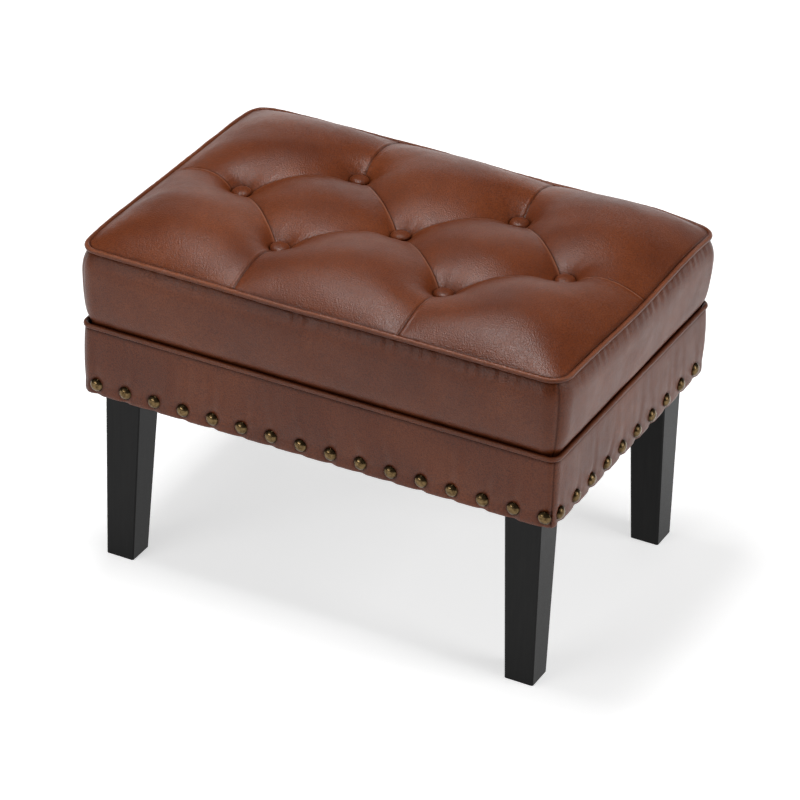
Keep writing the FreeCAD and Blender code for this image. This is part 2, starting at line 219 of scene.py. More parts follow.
# Welts: what is uneven in them has a shortest and longest wave
welt_cell = 3.0
welt_sides = 18
welt_drift = 0.15
welt_drift_waves = (40.0, 200.0)
welt_swell = 0.03
welt_swell_waves = (10.0, 30.0)
# Painted highlight along each welt: the angle round the cord where it is strongest, and its spread
welt_highlight_angle = 0.9
welt_highlight_spread = 0.45

# Buttons and nail heads: their profiles are radius and height above the leather
button_sides = 36
button_tilt = 0.08
button_pleats = 9.0
button_pleat_depth = 0.012
button_pleats_end = 3.0
button_profile = [(0.0, 5.6), (3.5, 5.45), (6.5, 5.0), (8.8, 4.2), (10.4, 3.1), (11.5, 1.8),
                  (11.9, 0.5), (11.6, -0.8), (10.2, -1.6), (0.0, -1.8)]
nail_sides = 28
nail_lean = 0.05
nail_lift = 0.2
# Painted shade: a dark line round each nail head's rim, at a radius and width
nail_rim_radius = 7.75
nail_rim_shade = 0.75
nail_rim_width = 0.35
nail_pressed_in = 0.5
nail_profile = [(0.0, 4.6), (2.0, 4.46), (3.9, 4.0), (5.5, 3.2), (6.8, 2.1), (7.5, 1.15),
                (7.75, 0.75), (8.1, 0.5), (8.1, -0.2), (7.5, -1.4)]

# Underside: a staple row is its half length and pitch, and a staple's profile is the share of
# its crown and the rise
cloth_gap_at_legs = 1.0
cloth_lift = 0.4
cloth_sag = 2.2
cloth_pucker = 0.25
staple_inset = 9.0
staple_crown = 10.0
staple_half_width = 0.36
staple_half_thickness = 0.21
staple_stands_off = 0.1
staple_lean = 0.15
staple_profile = [(-0.5, 0.35), (-0.46, 0.0), (0.46, 0.0), (0.5, 0.35)]
long_staple_row = (216.0, 36.0)
short_staple_row = (120.0, 40.0)


# Meshes
def make_object(name, verts_mm, faces, material, smooth=True):
    """A mesh object from points in millimetres, riding on the stool's one body."""
    mesh = bpy.data.meshes.new(name)
    mesh.from_pydata((np.asarray(verts_mm, float) * MM).tolist(), [], faces)
    mesh.update()
    if smooth:
        mesh.shade_smooth()
    obj = bpy.data.objects.new(name, mesh)
    bpy.context.scene.collection.objects.link(obj)
    obj.data.materials.append(material)
    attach(obj, "root")
    return obj


def add_attribute(obj, name, values):
    """A number for every vertex, which a material reads by its name."""
    attribute = obj.data.attributes.new(name, "FLOAT", "POINT")
    attribute.data.foreach_set("value", np.asarray(values, np.float32))


def grid_faces(rows, columns, closed=False):
    """Quads over vertices stored row by row; closed joins the last column to the first."""
    faces = []
    for row in range(rows - 1):
        for column in range(columns if closed else columns - 1):
            after = (column + 1) % columns
            faces.append((row * columns + column, row * columns + after,
                          (row + 1) * columns + after, (row + 1) * columns + column))
    return faces


def smooth_curve(points, count):
    """Points spaced evenly along a smooth curve through a few (height, offset) pairs."""
    points = np.array(points, float)
    steps_between = 24
    padded = np.vstack([2.0 * points[0] - points[1], points, 2.0 * points[-1] - points[-2]])
    dense = []
    for k in range(1, len(padded) - 2):
        a, b, c, d = padded[k - 1:k + 3]
        for t in np.linspace(0.0, 1.0, steps_between, endpoint=False):
            dense.append(0.5 * (2.0 * b + (c - a) * t + (2.0 * a - 5.0 * b + 4.0 * c - d) * t ** 2
                                + (3.0 * b - a - 3.0 * c + d) * t ** 3))
    dense = np.array(dense + [points[-1]])
    walked = np.concatenate([[0.0], np.cumsum(np.hypot(*np.diff(dense, axis=0).T))])
    even = np.linspace(0.0, walked[-1], count)
    return np.column_stack([np.interp(even, walked, column) for column in dense.T])


def ripples(place, total, shortest, longest, seed):
    """A smooth random wave along a closed length, about 1 high."""
    generator = np.random.default_rng(seed)
    counts = range(max(1, round(total / longest)), round(total / shortest) + 1)
    wave = np.zeros_like(place)
    for count in counts:
        wave += np.cos(2.0 * math.pi * (count * place / total + generator.random()))
    return wave / math.sqrt(len(counts))


def bell(away, width):
    """1 at no distance, and falling smoothly to nothing past a width or two."""
    return np.exp(-(np.asarray(away) / width) ** 2)


def settled(x, y):
    """How far the cushion's top edge has dropped and moved outward at a place."""
    drop, push = np.zeros(np.shape(x)), np.zeros(np.shape(x))
    for px, py, reach, down, out in settled_places:
        share = bell(np.hypot(x - px, y - py), reach)
        drop += down * share
        push += out * share
    return drop, push


def rounded_plan(spacing, corner=frame_corner_radius):
    """Anchors and outward normals round the rounded plan, with the distance walked at the
    frame's face. The anchors suit around, which adds the frame's own corner radius."""
    run_x, run_y = half_length - corner, half_depth - corner
    turns = 12
    anchors, normals = [], []
    for quarter in range(4):
        normal = np.array([(0, -1), (1, 0), (0, 1), (-1, 0)][quarter], float)
        tangent = np.array([-normal[1], normal[0]])
        run = run_x if quarter % 2 == 0 else run_y
        reach = run_y if quarter % 2 == 0 else run_x
        for step in np.linspace(-run, run, round(2.0 * run / spacing) + 1)[:-1]:
            anchors.append(tangent * step + normal * reach)
            normals.append(normal)
        for turn in range(turns):
            angle = quarter_turn * turn / turns
            anchors.append(tangent * run + normal * reach)
            normals.append(normal * math.cos(angle) + tangent * math.sin(angle))
    normals = np.array(normals)
    anchors = np.array(anchors) + normals * (corner - frame_corner_radius)
    points = anchors + normals * frame_corner_radius
    steps = np.hypot(*(np.roll(points, -1, axis=0) - points).T)
    return anchors, normals, np.concatenate([[0.0], np.cumsum(steps)])


def around(anchors, normals, offset, height):
    """Points at one offset and height, or with one of each for every anchor."""
    out = np.zeros((len(anchors), 3))
    distance = frame_corner_radius + np.asarray(offset, float).reshape(-1, 1)
    out[:, :2] = anchors + normals * distance
    out[:, 2] = height
    return out


def on_diagonal(normals, width):
    """1 in the middle of a corner of the plan, falling off to both sides."""
    turn = np.arctan2(np.abs(normals[:, 1]), np.abs(normals[:, 0]))
    return bell(turn - 0.25 * math.pi, width)


# Materials, in which a scale counts features to the metre
leather_gloss = 0.31
crease_gloss = 0.04


def node_tree(name):
    """A new material with its nodes, links and main shader."""
    material = bpy.data.materials.new(name)
    material.use_nodes = True
    nodes, links = material.node_tree.nodes, material.node_tree.links
    return material, nodes, links, nodes["Principled BSDF"]


def texture(nodes, links, kind, scale, **settings):
    """A noise or cell texture in object space, where scale counts features to the metre."""
    place = nodes.new("ShaderNodeTexCoord")
    stretch = nodes.new("ShaderNodeMapping")
    stretch.inputs["Scale"].default_value = settings.pop("stretch", (1, 1, 1))
    node = nodes.new(kind)
    links.new(place.outputs["Object"], stretch.inputs["Vector"])
    links.new(stretch.outputs["Vector"], node.inputs["Vector"])
    node.inputs["Scale"].default_value = scale
    for key, value in settings.items():
        node.inputs[key].default_value = value
    return node


def ramp(nodes, links, source, stops):
    """Colours or greys between stops of (place, value)."""
    node = nodes.new("ShaderNodeValToRGB")
    while len(node.color_ramp.elements) < len(stops):
        node.color_ramp.elements.new(0.5)
    for element, (place, value) in zip(node.color_ramp.elements, stops):
        element.position = place
        element.color = (*np.broadcast_to(value, 3), 1.0)
    links.new(source, node.inputs["Fac"])
    return node.outputs["Color"]


def mixed(nodes, links, under, over, factor):
    """A colour laid over the one under it as far as the factor goes."""
    node = nodes.new("ShaderNodeMix")
    node.data_type = "RGBA"
    links.new(factor, node.inputs["Factor"])
    links.new(under, node.inputs["A"])
    node.inputs["B"].default_value = (*over, 1.0)
    return next(output for output in node.outputs if output.type == "RGBA")


def carried(nodes, name):
    """A number that the mesh carries at its vertices, 0 where it carries none."""
    node = nodes.new("ShaderNodeAttribute")
    node.attribute_name = name
    return node.outputs["Fac"]


def bump(nodes, links, height, strength, distance, before=None):
    """Relief from a texture, with its depth in metres, over any relief before it."""
    node = nodes.new("ShaderNodeBump")
    node.inputs["Strength"].default_value = strength
    node.inputs["Distance"].default_value = distance
    links.new(height, node.inputs["Height"])
    if before is not None:
        links.new(before, node.inputs["Normal"])
    return node.outputs["Normal"]


def leather_material():
    """Reddish brown leather with a fine pebbled grain, cloudy colour, painted shade in its
    creases and a painted highlight beside its seams and along its welts."""
    material, nodes, links, shader = node_tree("brown_leather")
    clouds = texture(nodes, links, "ShaderNodeTexNoise", 9.0, Detail=5.0, Roughness=0.6)
    specks = texture(nodes, links, "ShaderNodeTexNoise", 620.0, Detail=3.0, Roughness=0.7)
    pebbles = texture(nodes, links, "ShaderNodeTexVoronoi", 640.0)
    fine = texture(nodes, links, "ShaderNodeTexNoise", 1500.0, Detail=2.0, Roughness=0.5)
    soft = texture(nodes, links, "ShaderNodeTexNoise", 60.0, Detail=3.0, Roughness=0.5)
    cloudy = ramp(nodes, links, clouds.outputs["Fac"], [(0.3, (0.116, 0.023, 0.005)),
                                                        (0.5, (0.157, 0.0335, 0.0072)),
                                                        (0.7, (0.2, 0.047, 0.0115))])
    speckled = mixed(nodes, links, cloudy, (0.05, 0.012, 0.004),
                     ramp(nodes, links, specks.outputs["Fac"], [(0.45, 0.0), (0.6, 0.62)]))
    crease_shade = carried(nodes, "crease_shade")
    grain_wear_and_highlight = mixed(nodes, links, speckled, (0.27, 0.085, 0.032),
                 ramp(nodes, links, pebbles.outputs["Distance"], [(0.0, 0.14), (0.35, 0.0)]))
    # Painted highlight: a pale tint beside the seams and along the welts' upper outer side
    grain_wear_and_highlight = mixed(nodes, links, grain_wear_and_highlight, (0.42, 0.17, 0.095), carried(nodes, "painted_highlight"))
    # Painted shade: near black in the creases, seam lines and gaps that the mesh marks, which are
    # also made less glossy
    coloured = mixed(nodes, links, grain_wear_and_highlight, (0.012, 0.0035, 0.002), crease_shade)
    links.new(coloured, shader.inputs["Base Color"])
    dulled = nodes.new("ShaderNodeMath")
    dulled.operation = "MULTIPLY_ADD"
    dulled.inputs[1].default_value = crease_gloss - leather_gloss
    dulled.inputs[2].default_value = leather_gloss
    links.new(crease_shade, dulled.inputs[0])
    links.new(dulled.outputs[0], shader.inputs["Specular IOR Level"])
    rough = ramp(nodes, links, soft.outputs["Fac"], [(0.3, 0.34), (0.7, 0.42)])
    links.new(rough, shader.inputs["Roughness"])
    first = bump(nodes, links, pebbles.outputs["Distance"], 0.65, 0.00042)
    second = bump(nodes, links, fine.outputs["Fac"], 0.25, 0.00015, first)
    third = bump(nodes, links, soft.outputs["Fac"], 0.14, 0.0010, second)
    links.new(third, shader.inputs["Normal"])
    return material


def lacquer_material():
    """Black satin lacquer over straight-grained wood."""
    material, nodes, links, shader = node_tree("black_wood")
    grain = texture(nodes, links, "ShaderNodeTexNoise", 260.0, Detail=4.0, stretch=(1.0, 1.0, 0.06))
    dust = texture(nodes, links, "ShaderNodeTexNoise", 900.0, Detail=2.0)
    links.new(ramp(nodes, links, grain.outputs["Fac"], [(0.35, (0.0022, 0.0022, 0.0022)),
                                                        (0.7, (0.005, 0.0048, 0.0046))]),
              shader.inputs["Base Color"])
    links.new(ramp(nodes, links, dust.outputs["Fac"], [(0.3, 0.34), (0.7, 0.42)]),
              shader.inputs["Roughness"])
    shader.inputs["Specular IOR Level"].default_value = 0.17
    links.new(bump(nodes, links, grain.outputs["Fac"], 0.05, 0.0003), shader.inputs["Normal"])
    return material


def brass_material():
    """Antiqued brass: polished crowns and dark, dull tarnish between, and painted shade along each
    head's rim.
    """
    material, nodes, links, shader = node_tree("antique_brass")
    tarnish = texture(nodes, links, "ShaderNodeTexNoise", 240.0, Detail=4.0, Roughness=0.65)
    dents = texture(nodes, links, "ShaderNodeTexVoronoi", 420.0)
    metal = ramp(nodes, links, tarnish.outputs["Fac"], [(0.35, (0.062, 0.038, 0.016)),
                                                        (0.65, (0.18, 0.12, 0.056))])
    # Painted shade: near black along each head's rim, where the nails' mesh marks it
    links.new(mixed(nodes, links, metal, (0.02, 0.012, 0.006), carried(nodes, "crease_shade")),
              shader.inputs["Base Color"])
    shader.inputs["Metallic"].default_value = 1.0
    links.new(ramp(nodes, links, tarnish.outputs["Fac"], [(0.3, 0.3), (0.7, 0.18)]),
              shader.inputs["Roughness"])
    links.new(bump(nodes, links, dents.outputs["Distance"], 0.08, 0.0002), shader.inputs["Normal"])
    return material


def wood_material():
    """Plain unfinished pine and plywood."""
    material, nodes, links, shader = node_tree("bare_wood")
    grain = texture(nodes, links, "ShaderNodeTexNoise", 90.0, Detail=6.0, stretch=(0.08, 1.0, 1.0))
    links.new(ramp(nodes, links, grain.outputs["Fac"], [(0.3, (0.42, 0.27, 0.14)),
                                                        (0.7, (0.62, 0.46, 0.28))]),
              shader.inputs["Base Color"])
    links.new(ramp(nodes, links, grain.outputs["Fac"], [(0.3, 0.6), (0.7, 0.75)]),
              shader.inputs["Roughness"])
    links.new(bump(nodes, links, grain.outputs["Fac"], 0.2, 0.0005), shader.inputs["Normal"])
    return material


def steel_material():
    """Bright zinc plating."""
    material, nodes, links, shader = node_tree("zinc_steel")
    spangle = texture(nodes, links, "ShaderNodeTexVoronoi", 300.0)
    links.new(ramp(nodes, links, spangle.outputs["Distance"], [(0.0, (0.62, 0.62, 0.6)),
                                                               (1.0, (0.45, 0.46, 0.47))]),
              shader.inputs["Base Color"])
    links.new(ramp(nodes, links, spangle.outputs["Distance"], [(0.0, 0.28), (1.0, 0.42)]),
              shader.inputs["Roughness"])
    shader.inputs["Metallic"].default_value = 1.0
    return material


def soft_material(name, dark, light, scale, roughness):
    """Foam, wadding, card, twine and cloth: a matte surface with a fine uneven tooth."""
    material, nodes, links, shader = node_tree(name)
    tooth = texture(nodes, links, "ShaderNodeTexNoise", scale, Detail=4.0, Roughness=0.7)
    weave = texture(nodes, links, "ShaderNodeTexVoronoi", 2.0 * scale)
    links.new(ramp(nodes, links, tooth.outputs["Fac"], [(0.3, dark), (0.7, light)]),
              shader.inputs["Base Color"])
    links.new(ramp(nodes, links, tooth.outputs["Fac"], [(0.3, roughness), (0.7, roughness + 0.1)]),
              shader.inputs["Roughness"])
    links.new(bump(nodes, links, weave.outputs["Distance"], 0.4, 0.0004), shader.inputs["Normal"])
    return material


materials = {
    "brown_leather": leather_material(),
    "black_wood": lacquer_material(),
    "antique_brass": brass_material(),
    "bare_wood": wood_material(),
    "zinc_steel": steel_material(),
    "foam": soft_material("foam", (0.7, 0.62, 0.42), (0.82, 0.75, 0.55), 500.0, 0.85),
    "padding": soft_material("padding", (0.75, 0.75, 0.72), (0.88, 0.88, 0.85), 300.0, 0.85),
    "card": soft_material("card", (0.34, 0.26, 0.17), (0.45, 0.36, 0.25), 400.0, 0.8),
    "twine": soft_material("twine", (0.6, 0.54, 0.42), (0.78, 0.72, 0.6), 900.0, 0.75),
    "black_cloth": soft_material("black_cloth", (0.012, 0.012, 0.013), (0.03, 0.03, 0.032),
                                 700.0, 0.8),
}
for subpart in frame["record"]["subparts"]:
    node = frame["nodes"][subpart["node"]]
    node.data.materials.clear()
    node.data.materials.append(materials[subpart["material_slot"]])


# Cushion: places of its buttons, and its seams from button to button or to its edge
buttons = [(column * tuft_pitch, 0.0) for column in (-1, 0, 1)]
buttons += [(column * 0.5 * tuft_pitch, row * tuft_row_spacing)
            for row in (-1, 1) for column in (-1, 1)]
left, centre, right, front_left, front_right, back_left, back_right = buttons
row_seams = [(left, front_left), (left, back_left), (front_left, centre), (back_left, centre),
             (centre, front_right), (centre, back_right), (front_right, right), (back_right, right)]
end_seams = [(right, (310.0, 6.0)), (left, (-310.0, 8.0))]
edge_seams = [(front_left, (-103.0, -215.0)), (front_right, (103.0, -215.0)),
              (back_left, (-109.0, 215.0)), (back_right, (95.5, 215.0))]


def distance_to(x, y, seams):
    """Distance to the nearest seam, and which side of it, positive toward the front."""
    best = np.full(x.shape, 1e9)
    side = np.zeros(x.shape)
    for (ax, ay), (bx, by) in seams:
        dx, dy = bx - ax, by - ay
        t = np.clip(((x - ax) * dx + (y - ay) * dy) / (dx * dx + dy * dy), 0.0, 1.0)
        away = np.hypot(x - ax - t * dx, y - ay - t * dy)
        nearer = away < best
        best = np.where(nearer, away, best)
        side = np.where(nearer, np.sign(((x - ax) * dy - (y - ay) * dx) * dx), side)
    return best, side


def distance_to_buttons(x, y):
    return np.min([np.hypot(x - bx, y - by) for bx, by in buttons], axis=0)


def inside_rim(x, y):
    """How far a point lies inside the rounded rim of the top panel."""
    past_x, past_y = np.abs(x) - straight_x, np.abs(y) - straight_y
    corner = np.hypot(np.maximum(past_x, 0.0), np.maximum(past_y, 0.0))
    return rim_radius - np.where((past_x > 0) & (past_y > 0), corner, np.maximum(past_x, past_y))


def outward_at(x, y):
    """Direction outward at a place on the top: square to the rim beside it, and turning
    smoothly round the corners farther in."""
    past_x = np.maximum(np.abs(x) - straight_x, 0.0)
    past_y = np.maximum(np.abs(y) - straight_y, 0.0)
    past = np.maximum(np.hypot(past_x, past_y), 1e-6)
    across = np.clip((np.abs(x) - half_length) / settled_reach + 1.0, 0.0, 1.0)
    along = np.clip((np.abs(y) - half_depth) / settled_reach + 1.0, 0.0, 1.0)
    both = np.maximum(np.hypot(across, along), 1.0)
    near_rim = np.clip(1.0 - inside_rim(x, y) / rim_band, 0.0, 1.0)
    out_x = near_rim * past_x / past + (1.0 - near_rim) * across / both
    out_y = near_rim * past_y / past + (1.0 - near_rim) * along / both
    return out_x * np.sign(x), out_y * np.sign(y)


def relaxed_skin():
    """Heights of the pushed-up skin above its rim, on an even grid, by over-relaxation."""
    half_x, half_y = half_length + rim_offset, half_depth + rim_offset
    xs = np.arange(-half_x - solver_cell, half_x + 2.0 * solver_cell, solver_cell)
    ys = np.arange(-half_y - solver_cell, half_y + 2.0 * solver_cell, solver_cell)
    x, y = np.meshgrid(xs, ys, indexing="ij")
    push = np.full(x.shape, pillow_push)
    pulls = ((row_seams, row_seam_pull), (end_seams, end_seam_pull), (edge_seams, edge_seam_pull))
    for seams, pull in pulls:
        away = distance_to(x, y, seams)[0]
        push -= pull * np.maximum(0.0, 1.0 - away / seam_half_width) / seam_half_width
    z = np.where(distance_to_buttons(x, y) < button_hollow, button_sink, 0.0)
    free = (inside_rim(x, y) > 0) & (z == 0.0)
    free[[0, -1]] = False
    free[:, [0, -1]] = False
    even = np.add.outer(np.arange(len(xs)), np.arange(len(ys))) % 2 == 0
    stiffness = 4.0 + (solver_cell / foam_spread) ** 2
    for _ in range(solver_sweeps):
        for colour in (even, ~even):
            near = np.zeros_like(z)
            near[1:-1, 1:-1] = z[2:, 1:-1] + z[:-2, 1:-1] + z[1:-1, 2:] + z[1:-1, :-2]
            rest = (near + solver_cell ** 2 * push) / stiffness
            z = np.where(colour & free, z + over_relaxation * (rest - z), z)
    return xs, ys, z


def sampled(xs, ys, z, x, y):
    """The grid's height at any places, between its points."""
    across = np.clip((x - xs[0]) / solver_cell, 0, len(xs) - 1.001)
    along = np.clip((y - ys[0]) / solver_cell, 0, len(ys) - 1.001)
    i, j = across.astype(int), along.astype(int)
    u, v = across - i, along - j
    return ((1 - u) * (1 - v) * z[i, j] + u * (1 - v) * z[i + 1, j]
            + (1 - u) * v * z[i, j + 1] + u * v * z[i + 1, j + 1])


def top_grid():
    """Plan of the top panel as rows and columns of points, with round corners."""
    corner_cells = 10

    def lines(run):
        middle = np.linspace(-run, run, round(2.0 * run / top_cell) + 1)
        corner = np.linspace(0.0, rim_radius, corner_cells + 1)[1:]
        return np.concatenate([-run - corner[::-1], middle, run + corner])

    x, y = np.meshgrid(lines(straight_x), lines(straight_y), indexing="ij")
    a = np.clip((np.abs(x) - straight_x) / rim_radius, 0.0, 1.0)
    b = np.clip((np.abs(y) - straight_y) / rim_radius, 0.0, 1.0)
    round_x = np.sign(x) * (straight_x + rim_radius * a * np.sqrt(1.0 - 0.5 * b * b))
    round_y = np.sign(y) * (straight_y + rim_radius * b * np.sqrt(1.0 - 0.5 * a * a))
    return np.where(a > 0, round_x, x), np.where(b > 0, round_y, y)


def button_folds(x, y):
    """Small folds that run out from each button, about 1 high."""
    folds = np.zeros_like(x)
    for k, (bx, by) in enumerate(buttons):
        angle = np.arctan2(y - by, x - bx)
        shape = np.cos(7.0 * angle + 1.7 * k) + 0.6 * np.cos(11.0 * angle + 2.9 * k)
        folds += shape * bell(np.hypot(x - bx, y - by) - button_fold_place, button_fold_reach)
    return folds * np.clip(distance_to_buttons(x, y) / 14.0 - 0.6, 0.0, 1.0)


def unevenness(x, y):
    """The gentle lumps of stuffed leather, about 1 high and none at the rim."""
    lumps = np.sin(x / 23.0 + 1.3 * np.sin(y / 31.0)) * np.sin(y / 19.0 + 0.9 * np.sin(x / 37.0))
    return lumps * np.clip(inside_rim(x, y) / unevenness_fade, 0.0, 1.0)


def beside_seam(x, y, seams, place, width):
    """1 along a line beside the seams, on their side toward the front."""
    away, side = distance_to(x, y, seams)
    return np.where(side > 0, bell(away - place, width), 0.0)


def top_heights(x, y):
    """Height of the tufted leather above the floor, how dark the painted shade in its creases is,
    and how strong the painted highlight beside its seams is on the side toward the front."""
    seams = row_seams + end_seams + edge_seams
    near_button = distance_to_buttons(x, y)
    open_seam = 1.0 - bell(near_button, seam_opens_from_button)
    groove = bell(distance_to(x, y, seams)[0], seam_groove_width) * open_seam
    lip = beside_seam(x, y, seams, seam_lip_place, seam_lip_width) * open_seam
    z = rim_height + sampled(*relaxed_skin(), x, y)
    z += seam_lip_height * lip - seam_groove_depth * groove
    z += button_fold_height * button_folds(x, y) + unevenness_height * unevenness(x, y)
    ring = bell(near_button - button_radius, gap_width)
    welt_gap = bell(inside_rim(x, y), gap_width)
    # Painted shade in the seam grooves, round the buttons and in the gap at the welt
    crease_shade = seam_shade * groove + button_ring_shade * ring + welt_gap_shade * welt_gap
    # Painted highlight beside the seams, on their side toward the front
    painted_highlight = beside_seam(x, y, row_seams + end_seams, seam_highlight_place, seam_highlight_width) * open_seam
    return z, np.clip(crease_shade, 0.0, 1.0), seam_highlight * painted_highlight


def boxing_rings(edge):
    """Rings of points down the boxing from the top panel's edge, and how dark the painted shade on
    each one is.
    """
    straight = np.array([straight_x, straight_y])
    past = edge - np.clip(edge, -straight, straight)
    normals = past / np.hypot(*past.T)[:, None]
    anchors = edge - normals * rim_radius
    drop, push = settled(*edge.T)
    walked = np.concatenate([[0.0], np.cumsum(np.hypot(*np.diff(edge, axis=0).T))])
    total = walked[-1] + top_cell
    slow, slower, quick = (ripples(walked, total, *wave) for wave in boxing_waves)
    corner = on_diagonal(normals, corner_seam_width)
    rings, crease_shades = [], []
    for height, offset in smooth_curve(boxing_curve, boxing_rows)[1:]:
        up = (height - lower_welt_height) / (top_welt_height - lower_welt_height)
        share = min(max(up, 0.0), 1.0)
        belly = math.sin(math.pi * share)
        wrinkles = lower_wrinkle_share * bell(height - lower_wrinkle_height, lower_wrinkle_reach)
        if height < top_welt_height - wrinkle_gap:
            wrinkles += bell(top_welt_height - wrinkles_below_welt - height, wrinkle_reach)
        wave = belly_wave * belly * (slow + slower * math.cos(belly_wave_turn * up))
        wave += wrinkle_height * quick * wrinkles - corner_seam_depth * belly * corner
        rings.append(around(anchors, normals, offset + wave + push * share, height - drop * share))
        # Painted shade near the boxing's foot, under the top welt and along its corner seams
        dark = boxing_foot_shade * bell(height - boxing_foot, boxing_foot_reach)
        dark += boxing_head_shade * bell(height - boxing_head, boxing_head_reach)
        dark = dark + corner_seam_shade * np.maximum(corner - corner_shade_from, 0.0)
        crease_shades.append(np.clip(dark, 0.0, 1.0))
    return rings, crease_shades


def make_cushion():
    """The cushion's cover as one closed form: tufted top, swelling boxing and flat underside."""
    x, y = top_grid()
    z, crease_shade, painted_highlight = top_heights(x, y)
    rows, columns = x.shape
    index = np.arange(rows * columns).reshape(rows, columns)
    rim = np.concatenate([index[:-1, 0], index[-1, :-1], index[:0:-1, -1], index[0, :0:-1]])
    rings, dark = boxing_rings(np.column_stack([x.ravel(), y.ravel()])[rim])
    drop, push = settled(x, y)
    inward = np.clip(1.0 - inside_rim(x, y) / settled_reach, 0.0, 1.0)
    out_x, out_y = outward_at(x, y)
    x, y, z = x + push * inward * out_x, y + push * inward * out_y, z - drop * inward
    verts = np.column_stack([x.ravel(), y.ravel(), z.ravel()])
    # Starting at the second vertex chooses the diagonal that splits the quad
    faces = [(b, c, d, a) for a, b, c, d in grid_faces(rows, columns)]
    previous = rim
    for ring in range(len(rings)):
        current = len(verts) + ring * len(rim) + np.arange(len(rim))
        faces += zip(previous.tolist(), current.tolist(),
                     np.roll(current, -1).tolist(), np.roll(previous, -1).tolist())
        previous = current
    faces.append(tuple(previous[::-1].tolist()))
    cushion = make_object("cushion_cover", np.vstack([verts] + rings), faces,
                          materials["brown_leather"])
    # The top carries painted shade and a painted highlight, the boxing only painted shade
    no_highlight = np.zeros(len(rings) * len(rim))
    add_attribute(cushion, "crease_shade", np.concatenate([crease_shade.ravel()] + dark))
    add_attribute(cushion, "painted_highlight", np.concatenate([painted_highlight.ravel(), no_highlight]))
    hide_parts("top_panel", "front_boxing", "back_boxing", "left_boxing", "right_boxing",
                "seat_foam")


# Welts
def make_welt(name, node, height, offset, corner, seed):
    """A round welt of leather over cord, a little uneven. The top one sags with the cushion."""
    anchors, normals, walked = rounded_plan(welt_cell, corner)
    drift = welt_drift * ripples(walked[:-1], walked[-1], *welt_drift_waves, seed)
    swell = welt_swell * ripples(walked[:-1], walked[-1], *welt_swell_waves, seed + 1)
    radius = welt_radius * (1.0 + swell)
    drop, push = np.zeros(len(anchors)), np.zeros(len(anchors))
    if node == "top_welt":
        drop, push = settled(*(anchors + normals * frame_corner_radius).T)
    angles = 2.0 * math.pi * np.arange(welt_sides) / welt_sides
    rings = [around(anchors, normals, offset + push + drift + radius * math.cos(angle),
                    height - drop + drift + radius * math.sin(angle)) for angle in angles]
    total = welt_sides * len(anchors)
    faces = [tuple(vertex % total for vertex in face)
             for face in grid_faces(welt_sides + 1, len(anchors), closed=True)]
    welt = make_object(name, np.vstack(rings), faces, materials["brown_leather"])
    # Painted highlight: a lighter band along the welt's upper outer side
    painted_highlight = welt_highlight * bell(angles - welt_highlight_angle, welt_highlight_spread)
    add_attribute(welt, "painted_highlight", np.repeat(painted_highlight, len(anchors)))
    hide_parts(node)


# Buttons
def make_buttons():
    """Domed buttons covered in the same leather, each tilted a little by its thread."""
    names = ("left", "centre", "right", "front_left", "front_right", "back_left", "back_right")
    for k, ((bx, by), name) in enumerate(zip(buttons, names)):
        tilt_x, tilt_y = random.uniform(-button_tilt, button_tilt, 2)
        verts = []
        for radius, height in button_profile:
            for side in range(button_sides):
                angle = 2.0 * math.pi * side / button_sides
                pleat = math.sin(button_pleats * angle + k) * (height < button_pleats_end)
                pleat = 1.0 + button_pleat_depth * pleat
                px, py = radius * pleat * math.cos(angle), radius * pleat * math.sin(angle)
                pz = button_back + button_lift + height + px * tilt_x + py * tilt_y
                verts.append((bx + px, by + py, pz))
        faces = [face[::-1] for face in grid_faces(len(button_profile), button_sides, closed=True)]
        button = make_object("button_cover_" + name, verts, faces, materials["brown_leather"])
        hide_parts("button_" + name)


# Border
def nail_places(side):
    """Distances along one side from its middle at which its nails stand."""
    half_run = half_length if side in ("front", "back") else half_depth
    inset = nail_insets[side]
    gaps = round(2.0 * (half_run - inset) / nail_spacing)
    return nail_row_shifts[side] + np.linspace(inset - half_run, half_run - inset, gaps + 1)


side_turns = {"front": 0, "right": 1, "back": 2, "left": 3}


def nail_folds(points, sides):
    """For every point of the plan: how far along its side it is from the nearest nail, and
    how the fold above that nail leans and how strong it is."""
    along = np.full(len(points), 1e3)
    lean, strength = np.zeros(len(points)), np.ones(len(points))
    for side, turn in side_turns.items():
        places = nail_places(side)
        across = (points[:, 0], points[:, 1], -points[:, 0], -points[:, 1])[turn]
        gaps = across[:, None] - places[None, :]
        nearest = np.argmin(np.abs(gaps), axis=1)
        leans = random.uniform(-1.0, 1.0, len(places))
        strengths = random.uniform(*nail_pucker_strengths, len(places))
        along = np.where(sides == turn, gaps[np.arange(len(points)), nearest], along)
        lean = np.where(sides == turn, leans[nearest], lean)
        strength = np.where(sides == turn, strengths[nearest], strength)
    return along, lean, strength


